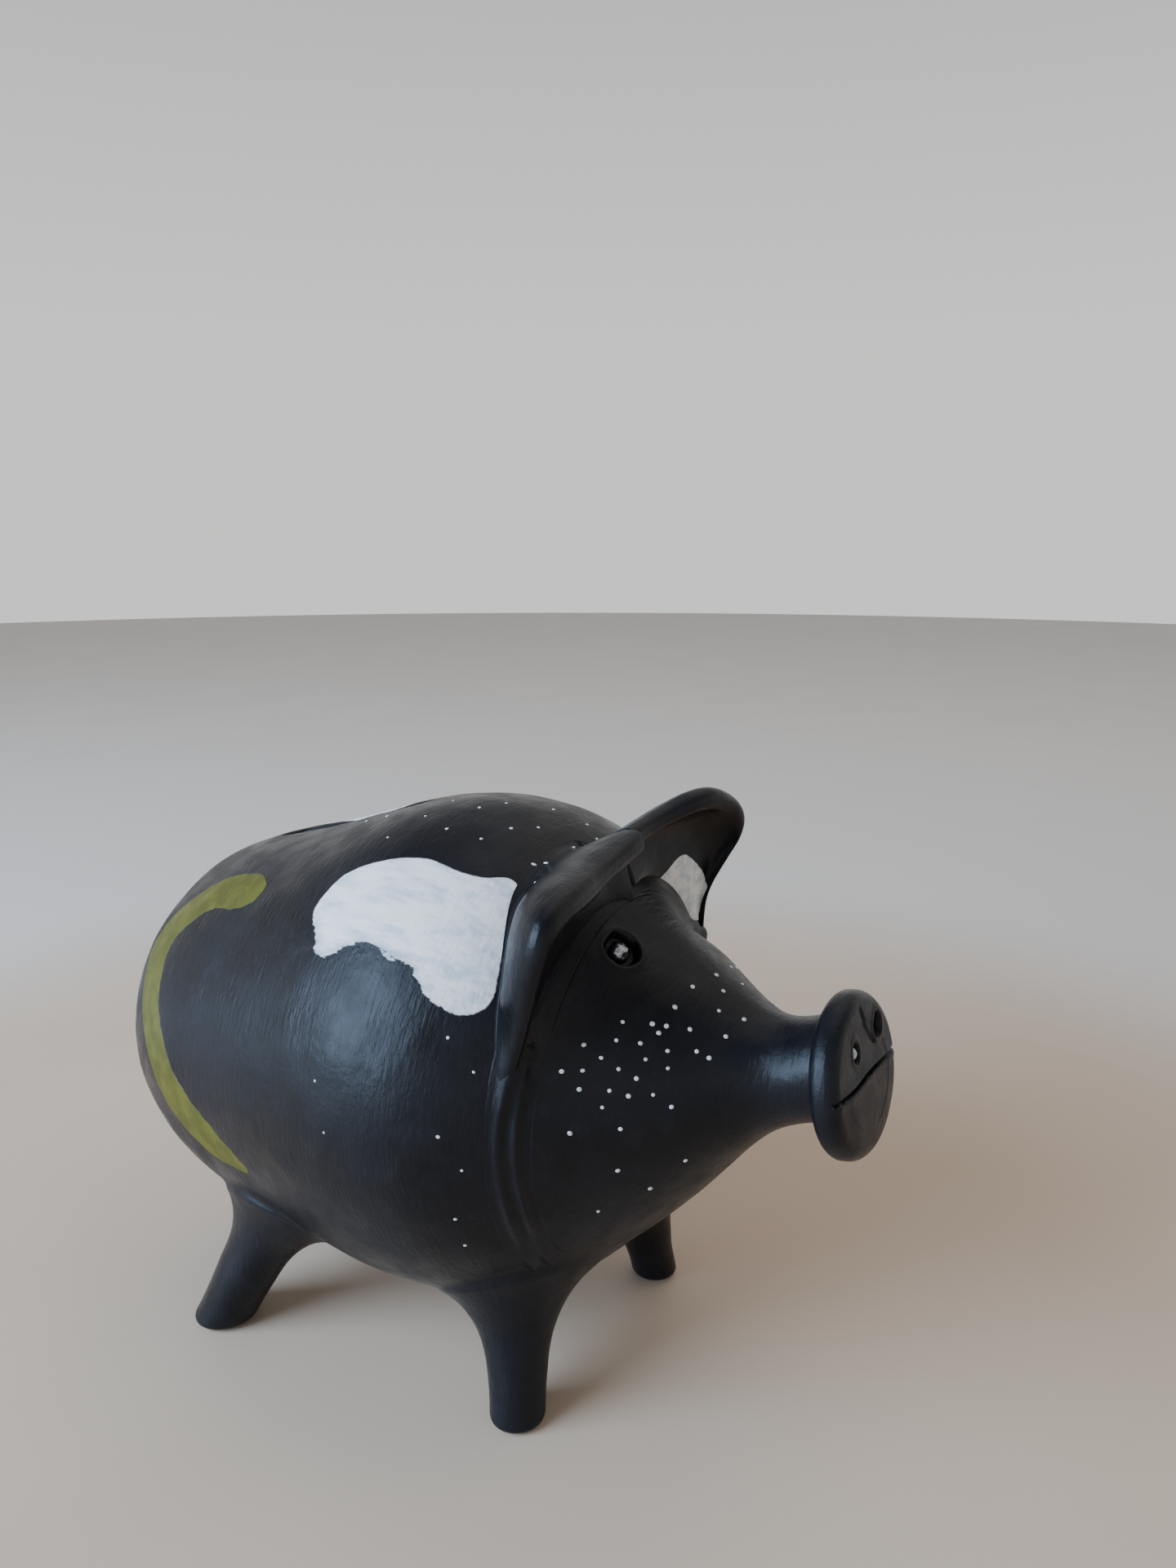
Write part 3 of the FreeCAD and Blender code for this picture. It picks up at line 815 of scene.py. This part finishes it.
def ear(name, table, white):
    """Ear: a hood of clay from the crown to the cheek.  Its back is smeared into the shoulder, its
    free edge is round and rolls forwards, and its inside meets the head in a crease.  white tells
    whether the inside is painted white near the crease."""
    count, outside, inside = 200, 44, 26
    s = np.linspace(0, len(table) - 1, count)
    fine = splined(np.arange(len(table)), [[*rim, *back, *front] for rim, back, front in table], s)
    rim = fine[:, :3]
    back_normal = ideal_skin(fine[:, 3], fine[:, 4])[1]
    back = skin(fine[:, 3], fine[:, 4], 0.02)
    front_normal = ideal_skin(fine[:, 5], fine[:, 6])[1]
    front = skin(fine[:, 5], fine[:, 6], -0.1)
    size = np.linalg.norm(rim - back, axis=1)[:, None]
    thick = np.minimum(EAR_THICK, 0.22 * size)
    reach = unit(rim - (back + front) / 2)
    outer = square_to(back - front, reach)
    reach = unit(reach - EAR_CURL * outer)
    outer = square_to(outer, reach)
    along_skin = square_to(rim - back, back_normal)
    centre = rim - reach * thick
    top, bottom = centre + outer * thick, centre - outer * thick
    ramp = np.linspace(0, 1, outside)
    outer_face = bezier(back, back + along_skin * size * 0.22, top - reach * size * 0.48, top, ramp)
    turn = np.linspace(0, np.pi, 13)[1:-1][None, :, None]
    edge = centre[:, None] + thick[:, None] * (np.cos(turn) * outer[:, None] + np.sin(turn) * reach[:, None])
    down = np.linalg.norm(front - bottom, axis=1)[:, None]
    hollow = front + unit(front_normal - 0.5 * reach) * down * 0.30
    inner_face = bezier(bottom, bottom - reach * down * 0.42, hollow, front, np.linspace(0, 1, inside))
    face = np.concatenate([outer_face, edge, inner_face], 1)
    from_foot = smooth_step(0, 0.25, ramp)
    to_crease = smooth_step(1, 0.8, np.linspace(0, 1, inside))
    free = np.concatenate([from_foot, np.ones(edge.shape[1]), to_crease])
    normal = unit(np.cross(np.gradient(face, axis=0), np.gradient(face, axis=1)) + 1e-9)
    middle = face[count // 2, outside // 2]
    if normal[count // 2, outside // 2] @ (middle - np.array([middle[0], 0, 48])) < 0:
        normal = -normal
    face += normal * (free * worked(face * 1.3))[..., None]
    rear_foot = skin(fine[:, 3] - 0.9, fine[:, 4], -0.12)[:, None]
    sunk = (front - front_normal * 1.2)[:, None]
    deep = ((back + front) / 2 - back_normal * 2.5)[:, None]
    loops = np.concatenate([rear_foot, face, sunk, deep], 1)
    heart = loops[0].mean(0)
    step = unit(loops[0] - loops[1]).mean(0)
    blunt = [heart + (loops[0] - heart) * k + step * d for k, d in ((0.5, 0.30), (0.86, 0.25), (0.95, 0.12))]
    obj = tube_object(name, blunt + list(loops))
    far = np.full(len(obj.data.vertices), 9.0)
    set_field(obj, "olive_edge", far)
    set_field(obj, "ragged", 0 * far)
    if white:
        crease = np.linalg.norm(inner_face - front[:, None], axis=2)
        wide = spline(*EAR_WHITE)(s)[:, None]
        depth = np.full(loops.shape[:2], 9.0)
        first = 1 + outside + edge.shape[1]
        depth[:, first:first + inside] = np.minimum(crease - wide, 9)
        skipped = len(blunt) * loops.shape[1]
        far[skipped:skipped + depth.size] = depth.ravel()
    set_field(obj, "white_edge", far)
    return obj


# ---- tail ----
def tail():
    """Thin coil of clay curled on the rump."""
    table = np.array([[*centre, size] for centre, size in TAIL])
    steps = np.linalg.norm(np.diff(table[:, :3], axis=0), axis=1)
    lengths = np.concatenate([[0], np.cumsum(steps)])
    fine = splined(lengths, table, np.linspace(0, lengths[-1], 60))
    centres, sizes = fine[:, :3], fine[:, 3]
    tangents = unit(np.gradient(centres, axis=0))
    first = np.array([1.0, 0, 0.3])
    columns = 40
    rings = []
    for i in range(2, 60):
        u = unit(first - (first @ tangents[i]) * tangents[i])
        v = np.cross(tangents[i], u)
        size = sizes[i] * (1 + 0.06 * math.sin(i * 0.9))
        rings.append(centres[i] + fan(u, v, tangents[i], 0, columns) * size)
    for tilt in (20, 40, 60, 78):
        rings.append(centres[-1] + fan(u, v, tangents[-1], tilt, columns) * size)
    points = np.array(rings)
    points += unit(points - points.mean(1, keepdims=True)) * (0.5 * worked(points))[..., None]
    points[..., 0] = np.maximum(points[..., 0], TAIL_END)
    return tube_object("tail_clay", points)


# ---- eyes, stopper and dots ----
def dome_rings(size, height, columns, rows, skirt):
    """Rings of a low dome about +Z, from a skirt below the surface to the top."""
    rings = [circle(columns, size, -skirt)]
    for t in np.linspace(0, math.pi / 2, rows)[:-1]:
        rings.append(circle(columns, size * math.cos(t), height * math.sin(t)))
    rings.append(circle(columns, 0.02, height))
    return np.array(rings)


def placed(points, centre, normal, spin=0.0, stretch=1.0):
    """Points about +Z moved to a centre with a normal, turned and stretched in their plane."""
    normal = unit(np.asarray(normal, float))
    u = unit(np.cross([0.0, 0.31, 0.95], normal))
    v = np.cross(normal, u)
    u, v = u * math.cos(spin) + v * math.sin(spin), v * math.cos(spin) - u * math.sin(spin)
    flat = points[..., :1] * stretch * u + points[..., 1:2] * v
    return np.asarray(centre) + flat + points[..., 2:] * normal


def eye(name, side):
    """Pellet pressed into the stamped ring."""
    centre, normal = skin(*EYES[side]), ideal_skin(*EYES[side])[1]
    rings = dome_rings(PELLET_RADIUS, PELLET_HEIGHT, 72, 20, 0.6)
    rings[..., 2] += 0.05 * lumps(rings, 0.8, 31) * (rings[..., 2] > 0)
    obj = tube_object(name, placed(rings, centre - normal * EYE_SEAT, normal))
    flat = rings.reshape(-1, 3)
    spin = 0.9
    u = flat[:, 0] * math.cos(spin) + flat[:, 1] * math.sin(spin)
    v = flat[:, 1] * math.cos(spin) - flat[:, 0] * math.sin(spin)
    dab = np.hypot(u / 1.2, v / 0.72) - 1 + 0.28 * lumps(flat, 0.45, 33)
    set_field(obj, "dab_edge", [*dab, 9, -1])
    return obj


# Height and radius round the plug: its tip, its side, the flange, a bead and the finger dimple.
PLUG = [
    (18.6, 0.3), (18.6, 5.5), (18.55, 7.6), (18.4, 8.6), (18.1, 9.05), (17.4, 9.3), (16.9, 9.85),
    (16.4, 9.9), (13.5, 9.9), (12.1, 9.88), (11.75, 9.95), (11.4, 10.3), (11.3, 10.9), (11.3, 12.2),
    (11.2, 12.6), (10.9, 12.85), (10.45, 12.95), (10.0, 12.9), (9.65, 12.65), (9.45, 12.2), (9.4, 11.6),
    (9.4, 11.2), (9.55, 10.9), (9.6, 10.6), (9.55, 10.3), (9.4, 10.0), (9.4, 5.6), (9.45, 4.9),
    (9.7, 4.4), (10.0, 3.9), (10.18, 3.2), (10.2, 2.0), (10.2, 0.3),
]


def stopper():
    """Rubber plug with a rounded flange and a finger dimple."""
    return tube_object("stopper_plug", [circle(200, r, z, STOPPER_X) for z, r in PLUG])


def surface_tree(objects):
    """One search tree over the surfaces of some objects, in millimetres."""
    points, faces = [], []
    for obj in objects:
        first = len(points)
        points += points_of(obj).tolist()
        faces += [tuple(first + v for v in polygon.vertices) for polygon in obj.data.polygons]
    return BVHTree.FromPolygons(points, faces)


# Dots as station and degrees from the top.  Those of the right cheek and flank are repeated on the
# left, each a little displaced.
CHEEK_DOTS = [
    (41, -1), (40.5, -22), (43.5, -15), (40, 18), (43, 7), (39.5, 33), (44, 23), (47, 20), (35, 47),
    (38, 44), (39.5, 43), (39, 47), (42, 41), (35, 54), (46, 39), (32, 58), (37.5, 53), (40.5, 54),
    (43.5, 52), (34, 61), (38.5, 59), (45, 55), (30.5, 67), (32.5, 66), (36, 64), (41, 62), (38, 67),
    (32.5, 72), (35.5, 72), (37.5, 74), (40, 74), (35, 78), (42, 81), (32, 86), (37, 87), (36.5, 105),
    (43, 118), (39, 123), (33.5, 121),
]
BACK_DOTS = [
    (-16.5, 11), (-12, 11), (-2.5, 14), (-5, 23), (3.5, 18), (-2.5, 4), (4, 7), (9.5, 18), (6, 1),
    (11.5, 11), (14, 6), (11.5, -6), (16.5, -9), (20, 25), (19.5, 5), (19.5, -6),
]
EAR_DASHES = [(18, 18), (19, 16), (20.5, 13)]
FLANK_DOTS = [(18.5, 64), (22, 70), (1, 79), (3, 89), (19, 85), (21.5, 93), (20, 106), (20, 115)]
# Places, radius in millimetres, length over width.
DOTS = [(CHEEK_DOTS, 0.29, 1.0), (BACK_DOTS, 0.22, 1.0), (FLANK_DOTS, 0.21, 1.0), (EAR_DASHES, 0.22, 1.7)]


def dots(tree):
    """White dots of thick paint, each a small dome with its own size and lean."""
    dice = np.random.default_rng(5)
    spots = []
    for places, size, stretch in DOTS:
        spots += [(x, a, size, stretch) for x, a in places]
    for x, a in CHEEK_DOTS + FLANK_DOTS:
        if a > 25:
            spots.append((x + dice.uniform(-1.2, 1.2), -a + dice.uniform(-4, 4), 0.28, 1.0))
    points, faces = [], []
    for x, a, size, stretch in spots:
        top, normal = ideal_skin(x, a)
        hit, face_normal = tree.ray_cast(Vector(top + normal * 2.2), Vector(-normal), 6.0)[:2]
        if hit is None:
            continue
        size *= dice.uniform(0.8, 1.15)
        rings = dome_rings(size, 0.5 * size * dice.uniform(0.8, 1.2), 20, 7, 0.15)
        lean = dice.uniform(-0.6, 0.6)
        rings = placed(rings, np.array(hit), np.array(face_normal), lean, stretch * dice.uniform(1.0, 1.25))
        first = len(points)
        points += rings.reshape(-1, 3).tolist()
        points.append(rings[-1].mean(0).tolist())
        faces += grid_faces(len(rings), 20, first)
        faces += ring_fan(first + (len(rings) - 1) * 20, 20, len(points) - 1, False)
    return turned_out(new_object("paint_dots", points, faces))


# ---- materials ----
class Paint:
    """A node material with short calls for its common parts."""

    def __init__(self, name):
        self.material = bpy.data.materials.new(name)
        self.material.use_nodes = True
        self.nodes = self.material.node_tree.nodes
        self.links = self.material.node_tree.links
        self.shader = self.nodes["Principled BSDF"]
        self.place = self.nodes.new("ShaderNodeTexCoord").outputs["Object"]

    def feed(self, socket, value):
        """Gives a socket a number, a colour or another node's output."""
        if isinstance(value, tuple):
            socket.default_value = (*value, 1)
        elif isinstance(value, (int, float)):
            socket.default_value = value
        else:
            self.links.new(value, socket)

    def node(self, kind, **inputs):
        """New node; the names of its inputs are written with _ for each space."""
        node = self.nodes.new("ShaderNode" + kind)
        for name, value in inputs.items():
            self.feed(node.inputs[name.replace("_", " ")], value)
        return node

    def noise(self, scale, detail=3.0, stretch=(1, 1, 1), rough=0.5):
        """Noise with about scale lumps per millimetre, squeezed along the axes by stretch."""
        mapping = self.node("Mapping", Vector=self.place)
        mapping.inputs["Scale"].default_value = [1000 * scale * s for s in stretch]
        vector = mapping.outputs["Vector"]
        return self.node("TexNoise", Vector=vector, Scale=1.0, Detail=detail, Roughness=rough).outputs["Fac"]

    def field(self, name):
        node = self.node("Attribute")
        node.attribute_name = name
        return node.outputs["Fac"]

    def math(self, operation, a, b):
        node = self.node("Math")
        node.operation = operation
        self.feed(node.inputs[0], a)
        self.feed(node.inputs[1], b)
        return node.outputs[0]

    def ramp(self, value, low, high, out_low=0.0, out_high=1.0):
        ends = {"From_Min": low, "From_Max": high, "To_Min": out_low, "To_Max": out_high}
        node = self.node("MapRange", Value=value, **ends)
        node.interpolation_type = "SMOOTHSTEP"
        return node.outputs["Result"]

    def mix(self, factor, a, b):
        """Colour a where factor is 0 and b where it is 1."""
        node = self.node("Mix")
        node.data_type = "RGBA"
        for name, value in (("Factor", factor), ("A", a), ("B", b)):
            self.feed(node.inputs[name], value)
        return node.outputs["Result"]

    def clouds(self, noise, low, high, a, b):
        """Colour a where the noise is below low, b where it is above high."""
        return self.mix(self.ramp(noise, low, high), a, b)

    def gloss(self, scale, detail, low, high):
        """Roughness that wanders between low and high."""
        return self.ramp(self.noise(scale, detail), 0.3, 0.7, low, high)

    def bump(self, height, depth, before=None):
        """Relief whose height of 1 stands for depth millimetres."""
        node = self.node("Bump", Strength=1.0, Distance=depth * MM, Height=height)
        if before is not None:
            self.feed(node.inputs["Normal"], before)
        return node.outputs["Normal"]

    def finish(self, colour, roughness, normal, specular=0.5):
        self.feed(self.shader.inputs["Specular IOR Level"], specular)
        self.feed(self.shader.inputs["Base Color"], colour)
        self.feed(self.shader.inputs["Roughness"], roughness)
        self.feed(self.shader.inputs["Normal"], normal)
        return self.material


SATIN = 0.20                       # specular level of the burnished paint
EDGE = (-0.10, 0.12)               # millimetres over which a painted edge ends


def black_layers(paint):
    """Colour, roughness and relief of the burnished black paint."""
    cloud = paint.noise(0.05, 3)
    colour = paint.clouds(cloud, 0.35, 0.65, (0.0038, 0.0040, 0.0054), (0.0066, 0.0070, 0.0095))
    dusty = paint.ramp(paint.noise(0.35, 5), 0.5, 0.8)
    colour = paint.mix(paint.math("MULTIPLY", dusty, 0.35), colour, (0.014, 0.014, 0.017))
    normal = paint.bump(paint.noise(0.55, 4, (3.2, 0.5, 0.5), 0.6), 0.09)
    normal = paint.bump(paint.noise(1.3, 4), 0.05, normal)
    normal = paint.bump(paint.noise(0.14, 2), 0.22, normal)
    return colour, paint.gloss(0.22, 4, 0.27, 0.42), normal


def black_paint():
    paint = Paint("black_paint")
    return paint.finish(*black_layers(paint), SATIN)


def white_layer(paint):
    """Mask and colour of the white patches, thin and frayed low on the flank."""
    ragged = paint.field("ragged")
    fray = paint.math("SUBTRACT", paint.noise(0.7, 4, (0.5, 1.6, 1.6), 0.65), 0.5)
    wide = paint.math("ADD", 0.4, paint.math("MULTIPLY", ragged, 2.4))
    edge = paint.math("ADD", paint.field("white_edge"), paint.math("MULTIPLY", fray, wide))
    streak = paint.noise(0.4, 4, (0.35, 1.5, 1.5), 0.6)
    colour = paint.clouds(streak, 0.42, 0.68, (0.80, 0.765, 0.72), (0.52, 0.56, 0.58))
    thin = paint.ramp(paint.math("ADD", edge, paint.math("MULTIPLY", fray, 3.0)), -2.2, 0.2, 0, 0.55)
    thin = paint.math("MULTIPLY", thin, paint.math("ADD", 0.15, ragged))
    return paint.ramp(edge, *EDGE, 1, 0), paint.mix(thin, colour, (0.20, 0.25, 0.31))


def olive_layer(paint):
    """Mask and colour of the olive band."""
    wobble = paint.math("SUBTRACT", paint.noise(0.5, 3), 0.5)
    mask = paint.ramp(paint.math("ADD", paint.field("olive_edge"), wobble), *EDGE, 1, 0)
    return mask, paint.clouds(paint.noise(0.3, 4), 0.35, 0.7, (0.070, 0.066, 0.006), (0.105, 0.098, 0.011))


def shell_paint():
    """Black paint with the white patches and the olive band."""
    paint = Paint("shell_paint")
    colour, rough, normal = black_layers(paint)
    white_mask, white = white_layer(paint)
    olive_mask, olive = olive_layer(paint)
    colour = paint.mix(white_mask, colour, white)
    colour = paint.mix(olive_mask, colour, olive)
    painted = paint.math("MAXIMUM", white_mask, olive_mask)
    normal = paint.bump(painted, 0.10, normal)
    rough = paint.math("ADD", rough, paint.math("MULTIPLY", painted, 0.10))
    return paint.finish(colour, rough, normal, SATIN)


def eye_paint():
    """Black paint with a worn white dab."""
    paint = Paint("eye_paint")
    colour, rough, normal = black_layers(paint)
    wobble = paint.math("MULTIPLY", paint.math("SUBTRACT", paint.noise(2.0, 3), 0.5), 0.5)
    mask = paint.ramp(paint.math("ADD", paint.field("dab_edge"), wobble), -0.08, 0.12, 1, 0)
    dab = paint.clouds(paint.noise(1.2, 4), 0.35, 0.65, (0.62, 0.63, 0.64), (0.26, 0.27, 0.29))
    return paint.finish(paint.mix(mask, colour, dab), rough, paint.bump(mask, 0.08, normal), SATIN)


def plain(name, colour, gloss, relief):
    """Material of one cloudy colour.  colour is (scale, detail, low, high, a, b) of its clouds, gloss
    the arguments of Paint.gloss and relief (scale, detail, depth) of its bumps."""
    paint = Paint(name)
    colour = paint.clouds(paint.noise(*colour[:2]), *colour[2:])
    return paint.finish(colour, paint.gloss(*gloss), paint.bump(paint.noise(*relief[:2]), relief[2]))


def white_paint():
    clouds = (0.8, 3, 0.35, 0.7, (0.74, 0.75, 0.74), (0.52, 0.55, 0.57))
    return plain("white_paint", clouds, (1.5, 3, 0.40, 0.52), (2.0, 3, 0.02))


def raw_clay():
    clouds = (0.2, 5, 0.3, 0.7, (0.20, 0.13, 0.09), (0.30, 0.20, 0.14))
    return plain("raw_clay", clouds, (1.0, 3, 0.75, 0.9), (0.9, 5, 0.12))


def rubber():
    clouds = (0.3, 4, 0.35, 0.7, (0.022, 0.022, 0.023), (0.036, 0.036, 0.037))
    return plain("stopper_rubber", clouds, (0.8, 3, 0.55, 0.7), (2.5, 3, 0.03))


def floor_paint():
    """Pale table, a little warmer near the object."""
    paint = Paint("floor_paint")
    colour = paint.clouds(paint.noise(0.01, 3), 0.3, 0.7, (0.60, 0.45, 0.325), (0.64, 0.485, 0.35))
    away = paint.node("VectorMath")
    away.operation = "LENGTH"
    paint.feed(away.inputs[0], paint.place)
    colour = paint.clouds(away.outputs["Value"], 0.15, 0.26, colour, (0.70, 0.64, 0.57))
    return paint.finish(colour, paint.gloss(0.02, 2, 0.5, 0.6), paint.bump(paint.noise(0.5, 2), 0.01))


# ---- making the bank ----
black = black_paint()
shell_skin = shell_paint()
white = white_paint()
clay = raw_clay()


def add(obj, materials, slot, *nodes, body="money_box"):
    """Dresses a new piece, which rides on its body and stands for its CAD nodes."""
    for material in materials:
        obj.data.materials.append(material)
    if nodes:
        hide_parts(*nodes)
    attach(obj, body)
    return obj


def raw_inside(obj):
    """Gives the faces that look into the hollow the second material."""
    centres = np.empty(len(obj.data.polygons) * 3)
    obj.data.polygons.foreach_get("center", centres)
    centres = centres.reshape(-1, 3) / MM
    x = centres[:, 0]
    depth = radius(np.clip(x, REAR, 60)) - np.hypot(centres[:, 1], centres[:, 2] - axis_z(x))
    depth -= 1.6 * pressed(centres)
    inside = ((depth > 3.4) & (x > REAR + 4)).astype(np.int32)
    obj.data.polygons.foreach_set("material_index", inside)


rear = add(rear_shell(), [shell_skin, clay], "painted_clay", "body_rear_shell")
paint_fields(rear)
raw_inside(rear)
front = add(front_shell(), [black], "painted_clay", "body_front_shell")
coil = add(seam(), [black, clay], "painted_clay", "seam_coil")
raw_inside(coil)
add(snout(), [black], "painted_clay", "snout_disc")

dotted = [rear, front, coil]
for end, sizes in LEGS.items():
    for hand, side in (("left", 1), ("right", -1)):
        node = "leg_" + end + "_" + hand
        dotted.append(add(leg(node + "_clay", *sizes, side), [black], "painted_clay", node))
for node, table, white_inside in (("ear_left", EAR_LEFT, True), ("ear_right", EAR_RIGHT, False)):
    piece = ear(node + "_clay", table, white_inside)
    dotted.append(add(piece, [shell_skin], "painted_clay", node))

add(tail(), [black], "painted_clay", "tail")
for node, side in (("eye_left", 1), ("eye_right", -1)):
    add(eye(node + "_pellet", side), [eye_paint()], "eye_clay", node)
add(stopper(), [rubber()], "stopper_rubber", "belly_stopper", body="stopper")
add(nostril_dab(), [white], "painted_clay")
add(dots(surface_tree(dotted)), [white], "painted_clay")

# ---- floor, light and camera ----
bpy.ops.mesh.primitive_circle_add(vertices=96, radius=1.6, fill_type="NGON", location=(0, 0, 0))
floor = bpy.context.object
floor.name = "floor"
floor.data.materials.append(floor_paint())


AIM = Vector((0, 0, 0.05))         # the lamps point here


def area_light(name, size, power, azimuth, elevation, distance, colour):
    """Soft rectangular lamp, placed round AIM by an azimuth from +X and an elevation in degrees."""
    data = bpy.data.lights.new(name, "AREA")
    data.shape = "RECTANGLE"
    data.size, data.size_y = size
    data.energy = power
    data.color = colour
    a, e = math.radians(azimuth), math.radians(elevation)
    away = Vector((math.cos(e) * math.cos(a), math.cos(e) * math.sin(a), math.sin(e)))
    lamp = bpy.data.objects.new(name, data)
    lamp.location = AIM + away * distance
    lamp.rotation_euler = (-away).to_track_quat("-Z", "Y").to_euler()
    bpy.context.scene.collection.objects.link(lamp)


area_light("key", (0.55, 0.6), 15.0, -121, 22, 0.75, (0.50, 0.70, 1.0))
area_light("top", (0.9, 0.9), 2.0, 80, 68, 0.9, (1.0, 0.95, 0.88))

world = bpy.data.worlds.new("studio")
bpy.context.scene.world = world
world.use_nodes = True
nodes, links = world.node_tree.nodes, world.node_tree.links
sky = nodes["Background"]
sky.inputs["Strength"].default_value = 0.95
spread = nodes.new("ShaderNodeTexCoord")
height = nodes.new("ShaderNodeSeparateXYZ")
shade = nodes.new("ShaderNodeValToRGB")
links.new(spread.outputs["Generated"], height.inputs["Vector"])
links.new(height.outputs["Z"], shade.inputs["Fac"])
links.new(shade.outputs["Color"], sky.inputs["Color"])
stops = ((0.15, (0.95, 0.95, 0.94, 1)), (0.75, (0.32, 0.32, 0.34, 1)))
for stop, (position, grey) in zip(shade.color_ramp.elements, stops):
    stop.position = position
    stop.color = grey

lens = bpy.data.cameras.new("camera")
lens.lens = 27.04
lens.sensor_width = 36
camera = bpy.data.objects.new("camera", lens)
camera.location = (0.10770, -0.13932, 0.12604)
camera.rotation_euler = (math.radians(90 - 12.337), 0, math.radians(32.188))
bpy.context.scene.collection.objects.link(camera)
bpy.context.scene.camera = camera
